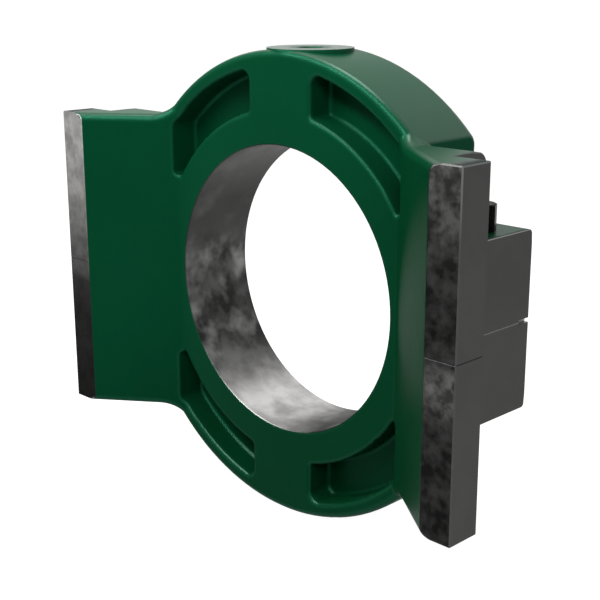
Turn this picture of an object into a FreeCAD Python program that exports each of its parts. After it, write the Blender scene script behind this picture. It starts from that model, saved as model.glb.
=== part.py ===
import FreeCAD, Part
import math
import os

# Take-up bearing housing: one iron casting and two hexagon bolts, in millimetres.
# X runs from guide to guide, Y along the bore from front to back, Z up the guides.
# The origin is the middle of the bearing seat, on the bore's axis.

# Bearing seat and ring
BORE_DIAMETER = 180.0
RING_DIAMETER = 292.0
RING_DEPTH = 55.0
BORE_FRONT_CHAMFER = 0.4
BORE_BACK_CHAMFER = 1.2
RING_FRONT_ROUND = 4.5
RING_BACK_ROUND = 7.0
FLAT_BEYOND_WING = 0.2
SIDE_BACK_ROUND = 5.0

# Wings that reach forward to the guide strips
WING_HEIGHT = 201.0
CREASE_INSET = 11.6
STRIP_REACH = 38.7
STRIP_DEPTH = 23.1
STRIP_FACE = 20.3
OVERALL_WIDTH = 334.5
PANEL_EDGE_ROUND = 5.0
WEB_THICKNESS = 11.0
WEB_BACK_ROUND = 7.4
WEB_ROOT_BLEND = 5.0
WING_ROOT = 8.0
JUNCTION_BLEND = 16.0
MACHINED_CHAMFER = 0.7

# Guide step and lugs behind the wings
GUIDE_SPAN = 290.0
LUG_HEIGHT = 105.0
LUG_PROUD = 1.0
LUG_OVERLAP = 6.0
LUG_CORNER_ROUND = 2.5

# Pockets cast into the ring's front face
POCKET_DEPTH = 18.0
HUB_WALL = 21.0
RIM_WALL = 10.0
SIDE_WALL = 8.6
SPOKE_WIDTH = 52.0
POCKET_END_WIDTH = 4.8
POCKET_END_HEIGHT = 61.0
POCKET_OUTER_ROUND = 6.0
POCKET_INNER_ROUND = 3.0
POCKET_FLOOR_BEVEL = 1.5
POCKET_MOUTH_ROUND = 2.5

# Port in the crown
PAD_DIAMETER = 53.0
PAD_HEIGHT = 0.3
PORT_DIAMETER = 16.0
PORT_CHAMFER = 0.4
PORT_DEPTH = 20.0
OILWAY_DIAMETER = 8.0

# Centre marks at mid height
MARK_WIDTH = 0.8
MARK_DEPTH = 0.5
NOTCH_HEIGHT = 2.6
NOTCH_LENGTH = 9.0
NOTCH_DEPTH = 2.4

# Hexagon bolts in the lugs
BOLT_ACROSS_FLATS = 17.0
BOLT_HEAD_HEIGHT = 15.0
BOLT_HEAD_BEVEL = 30.0
BOLT_CROWN_SHARE = 0.95
BOLT_SHANK_DIAMETER = 10.0
BOLT_SHANK_LENGTH = 24.0
BOLT_HOLE_SPARE = 4.0
BOLT_CLEARANCE = 0.1

# Overlap that makes two solids meet without a gap
OVERLAP = 1.0

# How far off a point may lie when it is tested against a size
SLACK = 0.01

# Room round a pocket in the block that its core is shaped in
CORE_MARGIN = 10.0

# Places worked out from the sizes above
BORE_RADIUS = BORE_DIAMETER / 2
RING_RADIUS = RING_DIAMETER / 2
FRONT = -RING_DEPTH / 2
BACK = RING_DEPTH / 2
WING_TOP = WING_HEIGHT / 2
HALF_WIDTH = OVERALL_WIDTH / 2
HALF_GUIDE = GUIDE_SPAN / 2
HALF_FLAT = math.sqrt(RING_RADIUS**2 - WING_TOP**2) + FLAT_BEYOND_WING
PANEL_START = HALF_FLAT - CREASE_INSET
ROOT_X = PANEL_START - WING_ROOT
STRIP_FRONT = FRONT - STRIP_REACH
STRIP_BACK = STRIP_FRONT + STRIP_DEPTH
STRIP_INNER = HALF_WIDTH - STRIP_FACE
PANEL_SLOPE = STRIP_REACH / (STRIP_INNER - PANEL_START)
WEB_BACK = FRONT + WEB_THICKNESS
LUG_BACK = BACK + LUG_PROUD
LUG_TOP = LUG_HEIGHT / 2
HUB_RADIUS = BORE_RADIUS + HUB_WALL
RIM_RADIUS = RING_RADIUS - RIM_WALL
POCKET_FLOOR = FRONT + POCKET_DEPTH
POCKET_SIDE = HALF_FLAT - SIDE_WALL
PAD_TOP = RING_RADIUS + PAD_HEIGHT
BOLT_X = (HALF_FLAT + HALF_GUIDE) / 2
BOLT_Y = (WEB_BACK + LUG_BACK) / 2

X_AXIS = FreeCAD.Vector(1, 0, 0)
Y_AXIS = FreeCAD.Vector(0, 1, 0)
Z_AXIS = FreeCAD.Vector(0, 0, 1)
CENTRE = FreeCAD.Vector(0, 0, 0)


def vec(x, y, z):
    return FreeCAD.Vector(x, y, z)


def near(value, target):
    return abs(value - target) < SLACK


def box(x0, x1, y0, y1, z0, z1):
    return Part.makeBox(x1 - x0, y1 - y0, z1 - z0, vec(x0, y0, z0))


def mirrored(shape):
    """The same shape at the other end, across the bore's upright plane."""
    return shape.mirror(CENTRE, X_AXIS)


def polygon_face(points):
    return Part.Face(Part.makePolygon(points + points[:1]))


def plan_prism(points, z0, z1):
    """An upright prism over an outline drawn in plan."""
    return polygon_face([vec(x, y, z0) for x, y in points]).extrude(vec(0, 0, z1 - z0))


def edges_where(shape, test):
    """Edges on which five points, from end to end, all pass the test."""
    found = []
    for edge in shape.Edges:
        first, last = edge.ParameterRange
        points = [edge.valueAt(first + (last - first) * k / 4) for k in range(5)]
        if all(test(point) for point in points):
            found.append(edge)
    return found


def ring():
    """The round body, turned from its half section, with both sides cut flat."""
    c, d = BORE_FRONT_CHAMFER, BORE_BACK_CHAMFER
    f, b = RING_FRONT_ROUND, RING_BACK_ROUND
    sag = 1 - math.sqrt(0.5)
    section = [
        Part.LineSegment(vec(BORE_RADIUS, FRONT + c, 0), vec(BORE_RADIUS + c, FRONT, 0)),
        Part.LineSegment(vec(BORE_RADIUS + c, FRONT, 0), vec(RING_RADIUS - f, FRONT, 0)),
        Part.Arc(vec(RING_RADIUS - f, FRONT, 0),
                 vec(RING_RADIUS - sag * f, FRONT + sag * f, 0),
                 vec(RING_RADIUS, FRONT + f, 0)),
        Part.LineSegment(vec(RING_RADIUS, FRONT + f, 0), vec(RING_RADIUS, BACK - b, 0)),
        Part.Arc(vec(RING_RADIUS, BACK - b, 0),
                 vec(RING_RADIUS - sag * b, BACK - sag * b, 0),
                 vec(RING_RADIUS - b, BACK, 0)),
        Part.LineSegment(vec(RING_RADIUS - b, BACK, 0), vec(BORE_RADIUS + d, BACK, 0)),
        Part.LineSegment(vec(BORE_RADIUS + d, BACK, 0), vec(BORE_RADIUS, BACK - d, 0)),
        Part.LineSegment(vec(BORE_RADIUS, BACK - d, 0), vec(BORE_RADIUS, FRONT + c, 0)),
    ]
    face = Part.Face(Part.Wire([side.toShape() for side in section]))
    body = face.revolve(CENTRE, Y_AXIS, 360)
    reach = RING_RADIUS + OVERLAP
    slab = box(-HALF_FLAT, HALF_FLAT, FRONT - OVERLAP, BACK + OVERLAP, -reach, reach)
    body = body.common(slab)
    corners = edges_where(body, lambda p: near(abs(p.x), HALF_FLAT) and near(p.y, BACK))
    return body.makeFillet(SIDE_BACK_ROUND, corners)


def wing_view():
    """Front view of the right end, which leaves the ring's circle in a hollow blend."""
    blend_x = math.sqrt((RING_RADIUS + JUNCTION_BLEND)**2 - (WING_TOP + JUNCTION_BLEND)**2)
    centre = vec(blend_x, 0, WING_TOP + JUNCTION_BLEND)
    start = vec(ROOT_X, 0, math.sqrt(RING_RADIUS**2 - ROOT_X**2))
    on_ring = centre * (RING_RADIUS / (RING_RADIUS + JUNCTION_BLEND))
    on_top = vec(blend_x, 0, WING_TOP)
    ring_middle = (start + on_ring).normalize() * RING_RADIUS
    lowest = (on_ring + on_top - centre * 2).normalize() * JUNCTION_BLEND + centre
    upper = [start, ring_middle, on_ring, lowest, on_top]
    lower = [vec(point.x, 0, -point.z) for point in upper]
    corner = vec(HALF_WIDTH, 0, WING_TOP)
    low_corner = vec(HALF_WIDTH, 0, -WING_TOP)
    sides = [
        Part.Arc(upper[0], upper[1], upper[2]),
        Part.Arc(upper[2], upper[3], upper[4]),
        Part.LineSegment(upper[4], corner),
        Part.LineSegment(corner, low_corner),
        Part.LineSegment(low_corner, lower[4]),
        Part.Arc(lower[4], lower[3], lower[2]),
        Part.Arc(lower[2], lower[1], lower[0]),
        Part.LineSegment(lower[0], upper[0]),
    ]
    return Part.Face(Part.Wire([side.toShape() for side in sides]))


def wing():
    """Slanted front panel, guide strip and back web of the right end.

    It starts a little inside the crease, so that its rounded edges run out in the ring,
    but keeps clear of the bearing seat.
    """
    plan = [
        (ROOT_X, FRONT + WING_ROOT * PANEL_SLOPE),
        (STRIP_INNER, STRIP_FRONT),
        (HALF_WIDTH, STRIP_FRONT),
        (HALF_WIDTH, STRIP_BACK),
        (HALF_GUIDE, STRIP_BACK),
        (HALF_GUIDE, WEB_BACK),
        (ROOT_X, WEB_BACK),
    ]
    view = wing_view()
    view.translate(vec(0, STRIP_FRONT - OVERLAP, 0))
    view = view.extrude(vec(0, WEB_BACK - STRIP_FRONT + OVERLAP, 0))
    body = plan_prism(plan, -RING_RADIUS, RING_RADIUS).common(view)
    rim = WING_TOP - SLACK
    panel = edges_where(body, lambda p: abs(p.z) > rim
                        and near(p.y, FRONT - (p.x - PANEL_START) * PANEL_SLOPE))
    body = body.makeFillet(PANEL_EDGE_ROUND, panel)
    strip = edges_where(body, lambda p: p.x > STRIP_INNER + OVERLAP / 2
                        and p.y < STRIP_BACK + SLACK
                        and (near(p.x, HALF_WIDTH) or near(p.y, STRIP_FRONT)))
    body = body.makeChamfer(MACHINED_CHAMFER, strip)
    back = edges_where(view, lambda p: abs(p.z) > rim and near(p.y, WEB_BACK))
    seat = Part.makeCylinder(BORE_RADIUS + OVERLAP, RING_DEPTH, vec(0, FRONT, 0), Y_AXIS)
    return body.common(view.makeFillet(WEB_BACK_ROUND, back)).cut(seat)


def lug():
    """The block behind the web of the right end, which carries on the guide face."""
    body = box(HALF_FLAT - LUG_OVERLAP, HALF_GUIDE,
               WEB_BACK - OVERLAP, LUG_BACK, -LUG_TOP, LUG_TOP)
    corners = edges_where(body, lambda p: near(abs(p.z), LUG_TOP) and near(p.y, LUG_BACK))
    return body.makeFillet(LUG_CORNER_ROUND, corners)


def pocket_outline():
    """Corners of the upper right pocket, from the spoke's inner end and round."""
    half_spoke = SPOKE_WIDTH / 2
    hub_end = min(POCKET_SIDE - POCKET_END_WIDTH,
                  math.sqrt(HUB_RADIUS**2 - POCKET_END_HEIGHT**2))
    end_height = math.sqrt(HUB_RADIUS**2 - hub_end**2)
    return [
        vec(half_spoke, 0, math.sqrt(HUB_RADIUS**2 - half_spoke**2)),
        vec(half_spoke, 0, math.sqrt(RIM_RADIUS**2 - half_spoke**2)),
        vec(POCKET_SIDE, 0, math.sqrt(RIM_RADIUS**2 - POCKET_SIDE**2)),
        vec(POCKET_SIDE, 0, end_height),
        vec(hub_end, 0, end_height),
    ]


def straight_pocket():
    """The upper right pocket as a plain hollow with rounded corners and floor."""
    spoke_in, spoke_out, rim_end, side_end, hub_end = pocket_outline()
    rim_middle = (spoke_out + rim_end).normalize() * RIM_RADIUS
    hub_middle = (spoke_in + hub_end).normalize() * HUB_RADIUS
    sides = [
        Part.LineSegment(spoke_in, spoke_out),
        Part.Arc(spoke_out, rim_middle, rim_end),
        Part.LineSegment(rim_end, side_end),
        Part.LineSegment(side_end, hub_end),
        Part.Arc(hub_end, hub_middle, spoke_in),
    ]
    face = Part.Face(Part.Wire([side.toShape() for side in sides]))
    face.translate(vec(0, STRIP_FRONT, 0))
    body = face.extrude(vec(0, POCKET_FLOOR - STRIP_FRONT, 0))

    def upright_at(corners):
        return edges_where(body, lambda p: any(near(p.x, corner.x) and near(p.z, corner.z)
                                               for corner in corners))

    body = body.makeFillet(POCKET_OUTER_ROUND, upright_at([spoke_out, rim_end]))
    body = body.makeFillet(POCKET_INNER_ROUND, upright_at([spoke_in, side_end]))
    floor = edges_where(body, lambda p: near(p.y, POCKET_FLOOR))
    return body.makeChamfer(POCKET_FLOOR_BEVEL, floor)


def rounded_hollow(x0, y0, x1, y1, low, high):
    """A block whose front runs from x0, y0 to x1, y1, whole and with the pocket in it."""
    back = POCKET_FLOOR + OVERLAP
    slope = (y1 - y0) / (x1 - x0)
    block = plan_prism([(x0, y0), (x1, y1), (x1, back), (x0, back)], low, high)
    hollow = block.cut(straight_pocket())
    mouth = edges_where(hollow, lambda p: near(p.y, y0 + (p.x - x0) * slope)
                        and p.x < x1 - OVERLAP and low + OVERLAP < p.z < high - OVERLAP)
    return block, hollow.makeFillet(POCKET_MOUTH_ROUND, mouth)


def pocket_core():
    """The sand core of the upper right pocket, its mouth flared on to ring and panel.

    The ring's flat front and the panel's slanted one are each hollowed and rounded, and
    the core is what the two blocks have lost when they are put together.
    """
    corners = pocket_outline()
    left = corners[0].x - CORE_MARGIN
    right = corners[2].x + CORE_MARGIN
    low = corners[3].z - CORE_MARGIN
    high = corners[1].z + CORE_MARGIN
    flat_block, flat = rounded_hollow(left, FRONT, right, FRONT, low, high)
    slant_block, slant = rounded_hollow(PANEL_START - CORE_MARGIN,
                                        FRONT + CORE_MARGIN * PANEL_SLOPE,
                                        right, FRONT - (right - PANEL_START) * PANEL_SLOPE,
                                        low, high)
    return flat_block.fuse(slant_block).cut(flat.fuse(slant))


def pad():
    """The flat round pad on the crown."""
    return Part.makeCylinder(PAD_DIAMETER / 2, PAD_HEIGHT + RIM_WALL,
                             vec(0, 0, PAD_TOP - PAD_HEIGHT - RIM_WALL))


def port():
    """Plug hole in the pad, with a narrower oilway on to the bearing seat."""
    radius = PORT_DIAMETER / 2
    plug = Part.makeCylinder(radius, PORT_DEPTH + OVERLAP, vec(0, 0, PAD_TOP - PORT_DEPTH))
    mouth = Part.makeCone(radius, radius + PORT_CHAMFER, PORT_CHAMFER,
                          vec(0, 0, PAD_TOP - PORT_CHAMFER))
    oilway = Part.makeCylinder(OILWAY_DIAMETER / 2, PAD_TOP, CENTRE)
    return plug.fuse([mouth, oilway])


def scribed_line(start, end, outward):
    """A V groove along a line on a flat face, from just inside to just outside it."""
    along = (end - start).normalize()
    across = along.cross(outward) * MARK_WIDTH
    depth = outward * MARK_DEPTH
    corners = [start - depth, start + depth + across, start + depth - across]
    return polygon_face(corners).extrude(end - start)


def centre_marks():
    """Scribed lines on the right end's machined faces, and the lug's sight notch."""
    x, y = X_AXIS * OVERLAP, Y_AXIS * OVERLAP
    strip_inner = vec(STRIP_INNER, STRIP_FRONT, 0)
    strip_outer = vec(HALF_WIDTH, STRIP_FRONT, 0)
    end_back = vec(HALF_WIDTH, STRIP_BACK, 0)
    guide_front = vec(HALF_GUIDE, STRIP_BACK, 0)
    guide_back = vec(HALF_GUIDE, LUG_BACK, 0)
    return [
        scribed_line(strip_inner, strip_outer + x, -Y_AXIS),
        scribed_line(strip_outer - y, end_back + y, X_AXIS),
        scribed_line(guide_front, guide_back + y, X_AXIS),
        box(HALF_GUIDE - NOTCH_DEPTH, HALF_GUIDE + OVERLAP,
            LUG_BACK - NOTCH_LENGTH, LUG_BACK + OVERLAP, -NOTCH_HEIGHT / 2, NOTCH_HEIGHT / 2),
    ]


def bolt_hole():
    depth = BOLT_SHANK_LENGTH + BOLT_HOLE_SPARE
    return Part.makeCylinder(BOLT_SHANK_DIAMETER / 2 + BOLT_CLEARANCE, depth + OVERLAP,
                             vec(BOLT_X, BOLT_Y, LUG_TOP - depth))


def blended(body):
    """Round the inner corners where the wings' webs run into the ring's flat sides."""
    corners = edges_where(body, lambda p: near(abs(p.x), HALF_FLAT) and near(p.y, WEB_BACK))
    return body.makeFillet(WEB_ROOT_BLEND, corners)


def housing():
    ends = [wing(), lug()]
    body = ring().fuse(ends + [mirrored(end) for end in ends] + [pad()]).removeSplitter()
    body = blended(body)
    upper = [pocket_core(), mirrored(pocket_core())]
    lower = [core.mirror(CENTRE, Z_AXIS) for core in upper]
    body = body.cut(upper + lower)
    right = centre_marks() + [bolt_hole()]
    return body.cut(right + [mirrored(tool) for tool in right] + [port()])


def bolt():
    """Hexagon bolt that stands on the middle of the right lug's top."""
    half_flats = BOLT_ACROSS_FLATS / 2
    corner = half_flats / math.cos(math.radians(30))
    head = polygon_face([vec(corner * math.cos(math.radians(60 * k)),
                             corner * math.sin(math.radians(60 * k)), 0) for k in range(6)])
    head = head.extrude(vec(0, 0, BOLT_HEAD_HEIGHT))
    crown = half_flats * BOLT_CROWN_SHARE
    slope = 1 / math.tan(math.radians(BOLT_HEAD_BEVEL))
    head = head.common(Part.makeCone(crown + BOLT_HEAD_HEIGHT * slope, crown, BOLT_HEAD_HEIGHT))
    shank = Part.makeCylinder(BOLT_SHANK_DIAMETER / 2, BOLT_SHANK_LENGTH,
                              vec(0, 0, -BOLT_SHANK_LENGTH))
    body = head.fuse(shank).removeSplitter()
    body.translate(vec(BOLT_X, BOLT_Y, LUG_TOP))
    return body


def save(name, shape):
    print(name, len(shape.Solids), "solid,", len(shape.Faces), "faces,",
          round(shape.Volume / 1000, 1), "cm3, valid", shape.isValid())
    shape.exportStep("parts/" + name + ".step")


os.makedirs("parts", exist_ok=True)
save("housing", housing())
save("lug_bolt_right", bolt())
save("lug_bolt_left", mirrored(bolt()))
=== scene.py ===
# %% [markdown]
# # A take-up bearing housing, dressed for its picture
#
# The part is one iron casting: a ring with a machined seat for a bearing, two wings
# that slant forward to guide strips, and two lugs behind them, each with a black bolt
# on top. The CAD model gives every size. This script adds what CAD leaves out: paint
# with its small waves, iron that a cutter has left bare and air has clouded, edges that
# shine where hands and crates have rubbed them, and the thread in the crown's port.
# Some light and shade is painted into the colours too: painted shade on the lower right
# of the paint, painted reflections on the strips' fronts and in the seat, and a painted
# highlight on the edges near the strips' tops.

# %% Tools and the imported CAD model
import math

import bmesh
import bpy
from mathutils import Matrix, Vector


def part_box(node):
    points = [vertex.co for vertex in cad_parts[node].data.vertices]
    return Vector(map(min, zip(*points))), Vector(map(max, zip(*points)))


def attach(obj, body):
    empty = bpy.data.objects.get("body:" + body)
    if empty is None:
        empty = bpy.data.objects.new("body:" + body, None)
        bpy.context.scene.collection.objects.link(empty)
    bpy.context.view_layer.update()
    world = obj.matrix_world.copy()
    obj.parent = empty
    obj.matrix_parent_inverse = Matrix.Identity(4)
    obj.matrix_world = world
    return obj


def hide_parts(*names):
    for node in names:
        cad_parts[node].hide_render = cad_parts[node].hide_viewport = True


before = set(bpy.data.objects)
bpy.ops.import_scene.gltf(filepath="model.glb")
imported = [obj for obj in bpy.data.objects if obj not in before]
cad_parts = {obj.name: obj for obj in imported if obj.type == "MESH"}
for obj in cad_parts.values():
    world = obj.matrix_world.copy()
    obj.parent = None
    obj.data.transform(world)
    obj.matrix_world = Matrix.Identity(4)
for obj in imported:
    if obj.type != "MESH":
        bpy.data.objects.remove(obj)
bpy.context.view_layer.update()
print("CAD nodes:", ", ".join(sorted(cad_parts)))

# %% [markdown]
# ## Measures
#
# Lengths in Blender are metres, and the origin is the middle of the bearing seat, so X
# runs from guide to guide, Y from front to back and Z up. The outer sizes are read from
# the CAD nodes, so that they follow when a size is changed there. The few inner ones
# that a box can't give are named here once.

# %% Sizes that the finishes and pieces need
MM = 0.001
housing_low, housing_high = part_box("housing")
END_X = housing_high.x
STRIP_FRONT_Y = housing_low.y
PAD_TOP_Z = housing_high.z
FLOOR_Z = housing_low.z
STRIP_WIDTH = 20.3 * MM
STRIP_THICKNESS = 23.1 * MM
STRIP_INNER_X = END_X - STRIP_WIDTH
STRIP_BACK_Y = STRIP_FRONT_Y + STRIP_THICKNESS
GUIDE_X = 145 * MM
BORE_RADIUS = 90 * MM
BORE_CHAMFER = 1.2 * MM
WING_TOP_Z = 100.5 * MM
LUG_TOP_Z = 52.5 * MM
PORT_RADIUS = 8 * MM
PORT_DEPTH = 20 * MM
print("width %.1f mm, height %.1f mm" % (2 * END_X / MM, (PAD_TOP_Z - FLOOR_Z) / MM))

# %% [markdown]
# ## Camera
#
# The picture is taken from the right and a little above, through a fairly long lens, so
# the ring's circles look like gentle ellipses. A camera looks along its own minus Z, so
# it is first tipped up from looking straight down, then turned to the left.

# %% The camera
CAMERA_PLACE = (0.5104, -0.5182, 0.1905)
CAMERA_TURN = 45.08
CAMERA_DIP = 15.50
CAMERA_ROLL = -0.10
LENS_LENGTH = 71.25
SENSOR_WIDTH = 36
NEAREST, FARTHEST = 0.05, 100


def turned(degrees, axis):
    return Matrix.Rotation(math.radians(degrees), 4, axis)


lens = bpy.data.cameras.new("camera")
lens.sensor_width = SENSOR_WIDTH
lens.lens = LENS_LENGTH
lens.clip_start = NEAREST
lens.clip_end = FARTHEST
camera = bpy.data.objects.new("camera", lens)
bpy.context.scene.collection.objects.link(camera)
camera.matrix_world = (Matrix.Translation(CAMERA_PLACE) @ turned(CAMERA_TURN, "Z")
                       @ turned(90 - CAMERA_DIP, "X") @ turned(CAMERA_ROLL, "Z"))
bpy.context.scene.camera = camera
bpy.context.scene.view_settings.view_transform = "Standard"
print("camera %.0f mm lens, turned %.1f degrees" % (lens.lens, CAMERA_TURN))

# %% [markdown]
# ## Shader maths in plain Python
#
# A pattern in a material is a sum: so much noise, less at the edge, more near the top.
# In Blender each plus or times is a Math node. The small class below wraps a socket, so
# that the sum can be written as one, and each operator adds its node by itself.

# %% A socket that can be reckoned with
class Wire:
    """An output socket on which Python's operators add Math nodes."""

    def __init__(self, finish, socket):
        self.finish = finish
        self.socket = socket

    def maths(self, operation, *values):
        inputs = dict(enumerate(values))
        return self.finish.node("ShaderNodeMath", {"operation": operation}, inputs)

    def __add__(self, other):
        return self.maths("ADD", self, other)

    def __sub__(self, other):
        return self.maths("SUBTRACT", self, other)

    def __rsub__(self, other):
        return self.maths("SUBTRACT", other, self)

    def __mul__(self, other):
        return self.maths("MULTIPLY", self, other)

    def __truediv__(self, other):
        return self.maths("DIVIDE", self, other)

    def __abs__(self):
        return self.maths("ABSOLUTE", self)

    def larger(self, other):
        return self.maths("MAXIMUM", self, other)

    def root(self):
        return self.maths("SQRT", self)

    __radd__ = __add__
    __rmul__ = __mul__


print("a wire knows + - * / and abs, and the methods larger and root")

# %% [markdown]
# Every node that isn't a Math node comes from one method: it sets what the node is
# first, such as a ramp's stops, and then fills its sockets with numbers or with wires.
# The rest of the class names the few patterns that the finishes share. The world of the
# scene has such a tree of nodes too, so the same class serves it.

# %% A material in the making
class Finish:
    """A material, or a world, whose nodes are added one by one."""

    def __init__(self, name, shelf="materials"):
        self.owner = getattr(bpy.data, shelf).new(name)
        self.owner.use_nodes = True
        self.tree = self.owner.node_tree
        self.tree.nodes.clear()
        self.place = None

    def node(self, kind, settings=None, sockets=None, out=0):
        """Add a node, set it up, fill its sockets, and give back one of its outputs."""
        made = self.tree.nodes.new(kind)
        for name, value in (settings or {}).items():
            if name == "stops":
                self.set_stops(made.color_ramp.elements, value)
            else:
                setattr(made, name, value)
        for name, value in (sockets or {}).items():
            if isinstance(value, Wire):
                self.tree.links.new(value.socket, made.inputs[name])
            else:
                made.inputs[name].default_value = value
        return Wire(self, made.outputs[out]) if made.outputs else made

    def set_stops(self, elements, stops):
        """Give a ramp its stops. It comes with two, so only the rest are added."""
        for spot, level in stops[2:]:
            elements.new(spot)
        for element, (spot, level) in zip(elements, sorted(stops)):
            element.position = spot
            element.color = (level, level, level, 1)

    def coordinates(self):
        """Object coordinates, from one node that is added when it is first needed."""
        if not self.place:
            self.place = self.node("ShaderNodeTexCoord", out="Object")
        return self.place

    def part(self, vector, axis):
        """One of the three numbers in a vector, by the name of its axis."""
        return self.node("ShaderNodeSeparateXYZ", {}, {0: vector}, out=axis)

    def axes(self, names):
        """Some of the object coordinates, as one number each."""
        return [self.part(self.coordinates(), name) for name in names]

    def facing(self):
        """The way the surface looks."""
        return self.node("ShaderNodeNewGeometry", out="Normal")

    def noise(self, size, detail=3, stretch=(1, 1, 1)):
        """Soft noise whose lumps measure about size, from 0 to 1."""
        place = self.node("ShaderNodeMapping", {"vector_type": "POINT"},
                          {"Vector": self.coordinates(), "Scale": stretch})
        return self.node("ShaderNodeTexNoise", {},
                         {"Vector": place, "Scale": 1 / size, "Detail": detail})

    def ramp(self, value, *stops):
        """A number that runs through the stops, each a place and a level."""
        return self.node("ShaderNodeValToRGB", {"stops": stops}, {0: value})

    def step(self, value, low, high):
        """0 below low, 1 above high, and a soft slope between."""
        return self.node("ShaderNodeMapRange", {"interpolation_type": "SMOOTHSTEP"},
                         {"Value": value, "From Min": low, "From Max": high})

    def blend(self, share, first, second):
        """A colour between two, by a share from 0 to 1."""
        return self.node("ShaderNodeMix", {"data_type": "RGBA"},
                         {0: share, 6: first, 7: second}, out=2)

    def bump(self, height, depth, under=None):
        """A normal that leans as if the surface rose by depth where height is 1."""
        sockets = {"Height": height, "Distance": depth, "Strength": 1.0}
        if under:
            sockets["Normal"] = under
        return self.node("ShaderNodeBump", {}, sockets)

    def surface(self, sockets, shine=None):
        """Close the material with a Principled shader and give it back.

        A shine is a share and a tint: that much of the light is mirrored in that tint.
        """
        shader = self.node("ShaderNodeBsdfPrincipled", {}, sockets)
        if shine:
            share, tint = shine
            mirror = self.node("ShaderNodeBsdfPrincipled", {}, {
                "Base Color": tint, "Metallic": 1.0,
                "Roughness": sockets["Roughness"], "Normal": sockets["Normal"]})
            shader = self.node("ShaderNodeMixShader", {},
                               {0: share, 1: shader, 2: mirror})
        self.node("ShaderNodeOutputMaterial", {}, {"Surface": shader})
        print("finish:", self.owner.name, len(self.tree.nodes), "nodes")
        return self.owner


def colour(red, green, blue):
    return (red, green, blue, 1.0)


def grey(level):
    return colour(level, level, level)


print("white is", grey(1.0))

# %% [markdown]
# ## Floor, background and light
#
# The housing is pictured on plain white. A floor that is only lit would come out grey,
# so its material glows for the camera and for reflections, up to white, and stays a
# pale matt floor for everything else. It still takes the shadow, because the glow is
# added to the lit floor instead of replacing it.

# %% The white floor
FLOOR_HALF = 40.0
FLOOR_PAINT = 0.28
FLOOR_GLOW = 0.98


def seen_directly(finish):
    """1 for rays from the camera and for reflected and refracted rays, else 0."""
    path = finish.node("ShaderNodeLightPath").socket.node.outputs
    camera_ray, glossy_ray, clear_ray = [
        Wire(finish, path[name]) for name in
        ("Is Camera Ray", "Is Glossy Ray", "Is Transmission Ray")]
    return camera_ray.larger(glossy_ray).larger(clear_ray)


def white_floor():
    finish = Finish("floor_paint")
    matt = finish.node("ShaderNodeBsdfDiffuse", {}, {"Color": grey(FLOOR_PAINT)})
    glow = finish.node("ShaderNodeEmission", {},
                       {"Strength": seen_directly(finish) * FLOOR_GLOW})
    both = finish.node("ShaderNodeAddShader", {}, {0: matt, 1: glow})
    finish.node("ShaderNodeOutputMaterial", {}, {"Surface": both})
    mesh = bpy.data.meshes.new("floor")
    shape = bmesh.new()
    bmesh.ops.create_grid(shape, x_segments=1, y_segments=1, size=FLOOR_HALF,
                          matrix=Matrix.Translation((0, 0, FLOOR_Z)))
    shape.to_mesh(mesh)
    shape.free()
    mesh.materials.append(finish.owner)
    floor = bpy.data.objects.new("floor", mesh)
    bpy.context.scene.collection.objects.link(floor)
    return floor


print("floor at %.1f mm" % (white_floor().bound_box[0][2] / MM))

# %% [markdown]
# The world is the light that comes from all round, as from the white walls of a studio.
# It is softer on the part than it looks in reflections, which see it as white.

# %% The world
WORLD_LIGHT = 0.16


def studio_walls():
    finish = Finish("studio", "worlds")
    bpy.context.scene.world = finish.owner
    seen = seen_directly(finish)
    walls = finish.node("ShaderNodeBackground", {}, {
        "Color": grey(1.0),
        "Strength": seen * (1.0 - WORLD_LIGHT) + WORLD_LIGHT,
    })
    finish.node("ShaderNodeOutputWorld", {}, {"Surface": walls})
    return finish.owner


print("world:", studio_walls().name, WORLD_LIGHT)

# %% [markdown]
# One long, narrow lamp stands in front, above the camera. It is narrow enough to draw
# thin bright lines along the rounded edges, and long enough for the lines to run far
# round the ring. A square one hangs over the part for its tops. A weak one on the right
# draws the lines on the edges that look that way.

# %% Three soft boxes
def soft_box(name, place, width, height, power):
    """A lamp with four corners that faces the part."""
    lamp = bpy.data.lights.new(name, "AREA")
    lamp.shape = "RECTANGLE"
    lamp.size = width
    lamp.size_y = height
    lamp.energy = power
    box = bpy.data.objects.new(name, lamp)
    bpy.context.scene.collection.objects.link(box)
    box.location = place
    box.rotation_mode = "QUATERNION"
    box.rotation_quaternion = (-Vector(place)).to_track_quat("-Z", "Y")
    print("lamp:", name, power, "watts")


soft_box("front_strip", (-0.18, -0.58, 0.74), width=1.25, height=0.15, power=14)
soft_box("top_box", (-0.20, 0.00, 1.30), width=0.60, height=0.60, power=8)
soft_box("right_box", (0.78, -0.62, 0.52), width=0.40, height=0.20, power=3.5)

# %% [markdown]
# ## Green enamel
#
# Castings are dipped or sprayed over the rough skin that the sand leaves. The colour
# drifts a little from place to place, and towards the lower right it is painted darker,
# as painted shade. Two greens are enough for that, with a share between them that is a
# sum of noises and of a slope across the part.

# %% The colour of the paint
DEEP_GREEN = colour(0.0001, 0.023, 0.0070)
FULL_GREEN = colour(0.0009, 0.048, 0.0180)
PAINTED_SHADE_FROM, PAINTED_SHADE_TO = -120 * MM, 90 * MM


def paint_colour(finish, cloud, fine):
    """Green that drifts in clouds, with painted shade towards the lower right."""
    x, z = finish.axes("XZ")
    # painted shade: the green darkens towards the lower right
    painted_shade = finish.step(x - z * 1.2, PAINTED_SHADE_FROM, PAINTED_SHADE_TO)
    share = cloud * 0.5 + fine * 0.2 + 0.4 - painted_shade * 0.6
    return finish.blend(share, DEEP_GREEN, FULL_GREEN)


print("greens:", DEEP_GREEN[:3], "to", FULL_GREEN[:3])

# %% [markdown]
# Three things make the shine. A green mirror of two hundredths is mixed over the paint,
# for the light green lines on its edges, and a third of that on the flat front and
# back, which keeps them deep. A Bevel node bends the normals near each edge, as thick
# paint rounds it, so that the lines come out broad. And a clear coat on the faces that
# look up shows the white room there.

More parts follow.
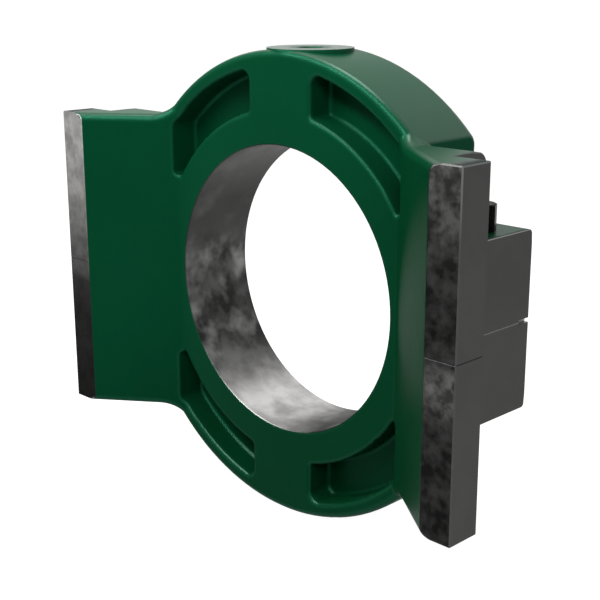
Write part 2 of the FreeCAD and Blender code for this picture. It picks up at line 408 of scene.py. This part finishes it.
# %% Where the paint mirrors the room
MIRROR_SHARE = 0.019
FLAT_CUT = 0.013
MIRROR_TINT = colour(0.20, 1.0, 0.66)
EDGE_ROUNDING = 3.0 * MM
EDGE_SAMPLES = 6
COAT_BY_TILT = ((0.25, 0.0), (0.60, 0.70), (0.80, 0.60), (1.0, 0.24))


def mirror_share(finish, rounded):
    """How much is mirrored: less on flat faces that look forward or back."""
    along = abs(finish.part(rounded, "Y"))
    tilted = abs(finish.part(rounded, "Z"))
    flat = finish.step(along, 0.60, 0.80) * (1 - finish.step(tilted, 0.05, 0.20))
    return MIRROR_SHARE - flat * FLAT_CUT


def coat_weight(finish, facing):
    """How much clear coat there is: none on walls, most on slopes that look up."""
    upward = finish.part(facing, "Z")
    tilt = upward + finish.part(facing, "Y") * 0.5
    return finish.ramp(tilt, *COAT_BY_TILT) * finish.step(upward, 0.05, 0.25)


print("mirror: %.3f on edges, %.3f on flats" % (MIRROR_SHARE, MIRROR_SHARE - FLAT_CUT))

# %% [markdown]
# Near the strips and at the lugs' tops the cutter has run out over the paint, and there
# it thins out to bare iron in a ragged edge. A step over the distance from the middle
# marks that place, and noise added to the distance makes its edge ragged. The gloss
# wanders over shallow lumps of the cast skin, and the paint itself has the fine waves
# called orange peel. Both are bumps, as they are far too shallow to model.

# %% The enamel, with the iron that shows through
RAGGED = 9 * MM
PEEL_SIZE, PEEL_DEPTH = 1.6 * MM, 0.012 * MM
LUMP_SIZE, LUMP_DEPTH = 16 * MM, 0.12 * MM


def bared(finish, facing):
    """1 on the level tops of the strips and lugs, where the cutter took the paint."""
    x, y = finish.axes("XY")
    outward = abs(x) + (finish.noise(RAGGED, 5) - 0.5) * RAGGED
    strip = finish.step(outward, END_X - 14 * MM, END_X - 4 * MM)
    behind = finish.step(y, STRIP_BACK_Y - 1 * MM, STRIP_BACK_Y + 1 * MM)
    lug = finish.step(outward, GUIDE_X - 5 * MM, GUIDE_X + 1 * MM) * behind
    level = finish.step(abs(finish.part(facing, "Z")), 0.80, 0.95)
    return strip.larger(lug) * level


def enamel():
    finish = Finish("casting_enamel")
    cloud = finish.noise(70 * MM, 4)
    fine = finish.noise(4 * MM, 3)
    facing = finish.facing()
    rounded = finish.node("ShaderNodeBevel", {"samples": EDGE_SAMPLES},
                          {"Radius": EDGE_ROUNDING})
    lumps = finish.bump(finish.noise(LUMP_SIZE, 4), LUMP_DEPTH, rounded)
    bare = bared(finish, facing)
    outer = finish.step(abs(finish.axes("X")[0]), STRIP_INNER_X, END_X)
    iron_tone = finish.blend(outer, grey(0.09), grey(0.15))
    return finish.surface({
        "Base Color": finish.blend(bare, paint_colour(finish, cloud, fine), iron_tone),
        "Metallic": bare,
        "Roughness": 0.27 + cloud * 0.06 + fine * 0.03,
        "Specular IOR Level": 0.01,
        "Specular Tint": grey(0.15),
        "Coat Weight": coat_weight(finish, facing) * (1 - bare),
        "Coat Roughness": 0.30,
        "Normal": finish.bump(finish.noise(PEEL_SIZE, 2), PEEL_DEPTH, lumps),
    }, (mirror_share(finish, rounded), MIRROR_TINT))


ENAMEL = enamel()

# %% [markdown]
# The pad on the crown is painted like the rest, but it was milled flat first, so the
# enamel lies smooth on it and shines. Washers have scuffed a ring round the port.

# %% The pad's smooth paint
SCUFF_OUTER, SCUFF_INNER = 15 * MM, 11 * MM


def pad_enamel():
    finish = Finish("pad_enamel")
    x, y = finish.axes("XY")
    from_port = (x * x + y * y).root()
    washer = finish.step(from_port, SCUFF_OUTER, SCUFF_INNER)
    scuffed = washer * finish.noise(2.5 * MM, 4)
    share = finish.noise(12 * MM, 3) * 0.5
    return finish.surface({
        "Base Color": finish.blend(share, DEEP_GREEN, FULL_GREEN),
        "Roughness": 0.22 + scuffed * 0.25,
        "Specular IOR Level": 0.06,
        "Normal": finish.bump(finish.noise(2 * MM, 2), 0.006 * MM),
    }, (MIRROR_SHARE, MIRROR_TINT))


PAD_ENAMEL = pad_enamel()

# %% [markdown]
# ## Bare iron
#
# Grey iron is dark where it is machined, and after weeks in the air it clouds over in
# soft patches, lighter and darker. The guide faces and the strips' ends are evenly
# grey. A planer leaves fine straight lines on them, far too fine to model, so they are
# a bump. Noise becomes lines when it is stretched: a scale of 0.03 along one axis draws
# each lump out along it.

# %% Planed iron
LINE_SPACING, LINE_DEPTH = 1.2 * MM, 0.006 * MM
DRAWN_OUT = 0.03
IRON_TINT = colour(1.0, 0.99, 0.975)


def clouded(finish, patch):
    """Soft patches from 0 to 1, with smaller blots among them."""
    cloud = finish.noise(patch, 5) * 0.7 + finish.noise(patch * 0.35, 4) * 0.3
    return finish.ramp(cloud, (0.41, 0.0), (0.60, 1.0))


def iron(finish, tone, patches, line_stretch):
    """Close a finish as bare iron of some tone, with a cutter's lines in it."""
    lines = finish.noise(LINE_SPACING, 2, line_stretch)
    return finish.surface({
        "Base Color": finish.blend(tone, grey(0.0), IRON_TINT),
        "Metallic": 1.0,
        "Roughness": 0.36 + patches * 0.12 + lines * 0.06,
        "Specular Tint": grey(0.5),
        "Normal": finish.bump(lines, LINE_DEPTH),
    })


def guide_iron():
    finish = Finish("guide_iron")
    patches = clouded(finish, 26 * MM)
    tone = 0.052 + patches * 0.010 + finish.noise(0.9 * MM, 3) * 0.008
    return iron(finish, tone, patches, (1, DRAWN_OUT, 1))


GUIDE_IRON = guide_iron()

# %% [markdown]
# The strips' fronts are never covered by the frame that the housing slides in. Their
# tone by height is painted reflection: the left one is painted light in its upper half,
# and the right one dark, with a painted lighter band below the middle. Each ramp gives
# the tone by the height, from 0 at the foot of a strip to 1 at its top.

# %% Painted reflections on the strips' iron
# painted reflections: tone by height on the right and the left strip's front
RIGHT_PAINTED_REFLECTION = ((0.0, 0.015), (0.32, 0.018), (0.40, 0.066), (0.46, 0.060),
               (0.50, 0.024), (0.56, 0.015), (0.72, 0.021), (0.80, 0.034), (1.0, 0.066))
LEFT_PAINTED_REFLECTION = ((0.0, 0.009), (0.33, 0.016), (0.43, 0.024), (0.46, 0.052),
              (0.57, 0.092), (0.67, 0.165), (0.77, 0.24), (1.0, 0.29))


def strip_iron():
    finish = Finish("strip_iron")
    x, z = finish.axes("XZ")
    height = z / (2 * WING_TOP_Z) + 0.5
    right = finish.ramp(height, *RIGHT_PAINTED_REFLECTION)
    left = finish.ramp(height, *LEFT_PAINTED_REFLECTION)
    on_right = finish.step(x, -1 * MM, 1 * MM)
    patches = clouded(finish, 11 * MM)
    tone = (right * on_right * (0.40 + patches * 1.10)
            + left * (1 - on_right) * (0.80 + patches * 0.45))
    return iron(finish, tone, patches, (1, 1, DRAWN_OUT))


STRIP_IRON = strip_iron()

# %% [markdown]
# The lathe has left the bearing seat brighter. It lies open to the damp as well, and
# has clouded in blots at its sides. Its lowest part is painted light, a painted
# reflection, and the clouds and blots are fainter there. The reflection's reach is the
# distance along one slanting direction, as a share of the bore's radius. The chamfer at
# the front is a little duller.

# %% Turned iron in the seat
# The direction of the painted reflection, its tones, and how much the clouds show.
REFLECTION_TOWARD_X, REFLECTION_TOWARD_Z = -0.26, -0.97
PAINTED_REFLECTION_TONES = ((0.0, 0.052), (0.30, 0.060), (0.55, 0.046), (0.72, 0.046),
             (0.80, 0.070), (0.88, 0.13), (0.94, 0.27), (1.0, 0.58))
CLOUDS_BY_REFLECTION = ((0.0, 0.25), (0.20, 1.0), (0.80, 1.0), (0.95, 0.5))


def seat_iron():
    finish = Finish("seat_iron")
    x, z = finish.axes("XZ")
    # painted reflection: light towards the bottom of the seat
    toward_reflection = (x * REFLECTION_TOWARD_X + z * REFLECTION_TOWARD_Z) / BORE_RADIUS
    level = finish.ramp(toward_reflection, *PAINTED_REFLECTION_TONES)
    damp = finish.ramp(toward_reflection, *CLOUDS_BY_REFLECTION)
    under_crown = finish.step(z, 0.45 * BORE_RADIUS, 1.00 * BORE_RADIUS) * 0.08
    patches = clouded(finish, 22 * MM)
    clouds = (patches - 0.5) * damp
    blots = finish.ramp(finish.noise(26 * MM, 3), (0.50, 0.0), (0.66, 1.0)) * damp
    tone = (level * (0.84 + clouds * 0.70) + under_crown + 0.010
            + clouds * 0.022 + blots * 0.12)
    chamfer = finish.step(finish.part(finish.facing(), "Y") * -1, 0.2, 0.5)
    return iron(finish, tone * (1 - chamfer * 0.6), patches, (DRAWN_OUT, 1, DRAWN_OUT))


SEAT_IRON = seat_iron()

# %% [markdown]
# ## Rubbed edges, black bolts
#
# A machined edge is rubbed bright within days, most on the lugs. Near the strips' tops
# the edges are painted lighter still, a painted highlight. The noise between two greys
# keeps the line from looking drawn.

# %% Rubbed edges, with a painted highlight near the strips' tops
def rubbed_and_lit_edge():
    finish = Finish("rubbed_and_lit_edge")
    y, z = finish.axes("YZ")
    worn = finish.noise(6 * MM, 4)
    # painted highlight: the edges grow lighter towards the top
    high = finish.step(z, 0.50 * WING_TOP_Z, WING_TOP_Z)
    low_tone = finish.blend(worn, grey(0.038), grey(0.072))
    strip_tone = finish.blend(high, low_tone, grey(0.12))
    filed = finish.step(y, STRIP_BACK_Y, STRIP_BACK_Y + 5 * MM)
    return finish.surface({
        "Base Color": finish.blend(filed, strip_tone, grey(0.22)),
        "Metallic": 1.0,
        "Roughness": 0.30 + worn * 0.15,
    })


RUBBED_AND_LIT_EDGE = rubbed_and_lit_edge()

# %% [markdown]
# The bolts are blackened in hot salts and oiled, which gives steel a thin, nearly black
# skin. It wears first at the six corners, where the spanner bites. The corners are the
# part of the head that lies farthest from the bolt's axis.

# %% Black oxide
CORNERS_FROM, CORNERS_TO = 9.0 * MM, 9.9 * MM


def black_oxide(bolt_x, bolt_y):
    finish = Finish("black_oxide")
    x, y = finish.axes("XY")
    aside, along = abs(x) - bolt_x, y - bolt_y
    radius = (aside * aside + along * along).root()
    worn = finish.step(radius, CORNERS_FROM, CORNERS_TO) * finish.noise(1.5 * MM, 3)
    cloud = finish.noise(3 * MM, 4)
    tone = finish.blend(cloud, grey(0.0010), grey(0.0025))
    return finish.surface({
        "Base Color": finish.blend(worn, tone, grey(0.02)),
        "Roughness": 0.28 + cloud * 0.16,
        "Specular IOR Level": 0.03,
        "Normal": finish.bump(finish.noise(0.8 * MM, 2), 0.01 * MM),
    })


bolt_low, bolt_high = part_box("lug_bolt_right")
BLACK = black_oxide((bolt_low.x + bolt_high.x) / 2, (bolt_low.y + bolt_high.y) / 2)

# %% [markdown]
# ## The dressed housing
#
# The CAD node arrives as loose triangles, so a copy is merged into one skin, and the
# triangles that lie in one plane are joined again to a single face. On such a skin each
# face can be asked where it lies and which way it looks, and gets its finish from that.

# %% From loose triangles to one skin
MERGE_DISTANCE = 0.004 * MM
SAME_PLANE = math.radians(0.5)


def merged_skin(node):
    """A bmesh of a CAD node with its points merged and its flat faces whole."""
    skin = bmesh.new()
    skin.from_mesh(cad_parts[node].data)
    bmesh.ops.remove_doubles(skin, verts=skin.verts, dist=MERGE_DISTANCE)
    bmesh.ops.dissolve_limit(skin, angle_limit=SAME_PLANE, verts=skin.verts,
                             edges=skin.edges, delimit=set())
    print(node, "skin:", len(skin.faces), "faces,",
          sum(not edge.is_manifold for edge in skin.edges), "open edges")
    return skin


housing_skin = merged_skin("housing")

# %% [markdown]
# A milling cutter works in flat planes, so the machined places are found by their
# plane: the strips' fronts, ends and backs, the guide faces down to the lugs, and the
# pad. The lathe leaves everything near the bore's radius. The narrow faces that look
# askew beside a machined plane are its chamfers, and they are the rubbed edges.

# %% Which face was machined
FINISHES = [ENAMEL, PAD_ENAMEL, GUIDE_IRON, STRIP_IRON, SEAT_IRON, RUBBED_AND_LIT_EDGE]
ENAMEL_AT, PAD_AT, GUIDE_AT, STRIP_AT, SEAT_AT, EDGE_AT = range(len(FINISHES))
SQUARE = 0.01


def near(value, target, slack=0.05 * MM):
    return abs(value - target) < slack


def machined_plane(middle, normal):
    """The slot of the finish of a flat machined face, or None for any other face."""
    side, depth = abs(middle.x), middle.y
    looks_aside = near(abs(normal.x), 1, SQUARE)
    looks_along = near(abs(normal.y), 1, SQUARE)
    if near(middle.z, PAD_TOP_Z) and normal.z > 1 - SQUARE:
        return PAD_AT
    if looks_aside and (near(side, END_X) or near(side, GUIDE_X)):
        return GUIDE_AT
    if looks_along and near(depth, STRIP_BACK_Y):
        return GUIDE_AT
    if looks_along and near(depth, STRIP_FRONT_Y) and side > STRIP_INNER_X:
        return STRIP_AT
    return None


def finish_at(middle, normal):
    """The slot of the finish for a face, from its middle and the way it looks."""
    side, depth, height = abs(middle.x), middle.y, abs(middle.z)
    in_bore = math.hypot(side, height) < BORE_RADIUS + BORE_CHAMFER
    flat = machined_plane(middle, normal)
    if flat is not None:
        return flat
    if in_bore and 0.3 < normal.y < 0.95:
        return EDGE_AT
    if in_bore and abs(normal.y) < 0.95:
        return SEAT_AT
    if near(side, STRIP_INNER_X, 1 * MM) and near(depth, STRIP_FRONT_Y, 1 * MM):
        return STRIP_AT
    if side > STRIP_INNER_X and abs(normal.z) < 0.9:
        return EDGE_AT
    if side > GUIDE_X - 3 * MM and height < 2 * MM:
        return EDGE_AT
    return ENAMEL_AT


for face in housing_skin.faces:
    face.material_index = finish_at(face.calc_center_median(), face.normal)
sorted_faces = [face.material_index for face in housing_skin.faces]
for slot, finish in enumerate(FINISHES):
    print(sorted_faces.count(slot), "faces of", finish.name)

# %% [markdown]
# The lugs' outer edges are sharp in the CAD model. On the real casting they are broken
# with a file, and shine as thin lines round the guide face. Bevel does that on the
# skin: it needs only the edges in which the guide face meets the lug's top, bottom and
# back. Those behind the strip's root and away from the notch at mid height are taken.

# %% The filed edges of the lugs
LUG_EDGE = 0.4 * MM
STRIP_ROOT = 12 * MM
NOTCH_REACH = 4 * MM


def round_guide_face(edge):
    """Whether an edge is one of those in which a guide face meets the rest of a lug."""
    if not edge.is_manifold or edge.calc_face_angle() < math.radians(60):
        return False
    ends = [point.co for point in edge.verts]
    return all(near(abs(end.x), GUIDE_X) and end.y > STRIP_BACK_Y + STRIP_ROOT
               and abs(end.z) > NOTCH_REACH for end in ends)


def soften(skin, edges, width, segments):
    """Bevel some edges of a skin, and give back the narrow faces that this makes."""
    made = bmesh.ops.bevel(skin, geom=edges, offset=width, offset_type="OFFSET",
                           segments=segments, profile=0.5, affect="EDGES",
                           clamp_overlap=True, material=-1)
    return made["faces"]


filed_edges = [edge for edge in housing_skin.edges if round_guide_face(edge)]
print("filed edges:", len(filed_edges))
for face in soften(housing_skin, filed_edges, LUG_EDGE, 1):
    face.material_index = EDGE_AT

# %% [markdown]
# A skin becomes a piece when its round faces are shaded smooth and its edges stay
# sharp. Wide flat faces beside narrow roundings would still look swollen, so a modifier
# lets the larger face decide how the corner is shaded. The piece then takes the place
# of the CAD node that it dresses, and rides on the same body.

# %% From skin to finished piece
SHARP_ANGLE = math.radians(32)


def finished_piece(name, skin, finishes, node):
    """Put a skin into the scene, smooth where it is round, in place of its node."""
    for face in skin.faces:
        face.smooth = True
    for edge in skin.edges:
        edge.smooth = edge.is_manifold and edge.calc_face_angle() < SHARP_ANGLE
    mesh = bpy.data.meshes.new(name)
    skin.to_mesh(mesh)
    skin.free()
    for finish in finishes:
        mesh.materials.append(finish)
    piece = bpy.data.objects.new(name, mesh)
    bpy.context.scene.collection.objects.link(piece)
    weighted = piece.modifiers.new("flat_faces_stay_flat", "WEIGHTED_NORMAL")
    weighted.keep_sharp = True
    weighted.mode = "FACE_AREA"
    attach(piece, "root")
    if node:
        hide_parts(node)
    print("piece:", name, len(mesh.polygons), "faces")


finished_piece("painted_housing", housing_skin, FINISHES, "housing")

# %% [markdown]
# ## Thread in the port
#
# A plug or a grease nipple screws into the crown. The thread is one V-shaped ridge that
# climbs round the hole. Spin makes it in one go: it turns the V round the hole's axis
# and lifts it a little at each step. The ridge starts near the hole's bottom and ends
# below its mouth, as behind a countersink, and its foot lies just inside the wall.

# %% The ridge that climbs round the hole
THREAD_PITCH = 1.5 * MM
THREAD_DEPTH = 0.8 * MM
THREAD_TURNS = 11
STEPS_PER_TURN = 40
FOOT_IN_WALL = 0.05 * MM
ABOVE_BOTTOM = 1.2 * MM
FOOT_SHARE = 0.95


def port_thread():
    shape = bmesh.new()
    foot = PORT_RADIUS + FOOT_IN_WALL
    crest = PORT_RADIUS - THREAD_DEPTH
    bottom = PAD_TOP_Z - PORT_DEPTH + ABOVE_BOTTOM
    corners = [(foot, bottom), (crest, bottom + THREAD_PITCH / 2),
               (foot, bottom + THREAD_PITCH * FOOT_SHARE)]
    section = shape.faces.new([shape.verts.new((x, 0, z)) for x, z in corners])
    rise = (0, 0, THREAD_PITCH / STEPS_PER_TURN)
    bmesh.ops.spin(shape, geom=[section], cent=(0, 0, 0), axis=(0, 0, 1), dvec=rise,
                   angle=math.tau * THREAD_TURNS, steps=STEPS_PER_TURN * THREAD_TURNS,
                   use_merge=False, use_duplicate=False)
    bmesh.ops.recalc_face_normals(shape, faces=shape.faces)
    print("thread:", THREAD_TURNS, "turns,",
          sum(not edge.is_manifold for edge in shape.edges), "open edges")
    return shape


finished_piece("port_thread", port_thread(), [GUIDE_IRON], None)

# %% [markdown]
# ## Bolts
#
# The heads are forged, so their edges are softly rounded rather than sharp. A bevel of
# a third of a millimetre catches the light the way the real edges do. Only the edges
# above the lug are rounded, because the shank is hidden in its hole.

# %% Two softened bolts
HEAD_ROUNDING = 0.35 * MM
HEAD_FROM_Z = LUG_TOP_Z - 0.1 * MM


def dress_bolt(node):
    skin = merged_skin(node)
    sharp = [edge for edge in skin.edges
             if edge.is_manifold and edge.calc_face_angle() > SHARP_ANGLE
             and min(point.co.z for point in edge.verts) > HEAD_FROM_Z]
    soften(skin, sharp, HEAD_ROUNDING, 2)
    finished_piece("blackened_" + node, skin, [BLACK], node)


for node in ("lug_bolt_right", "lug_bolt_left"):
    dress_bolt(node)
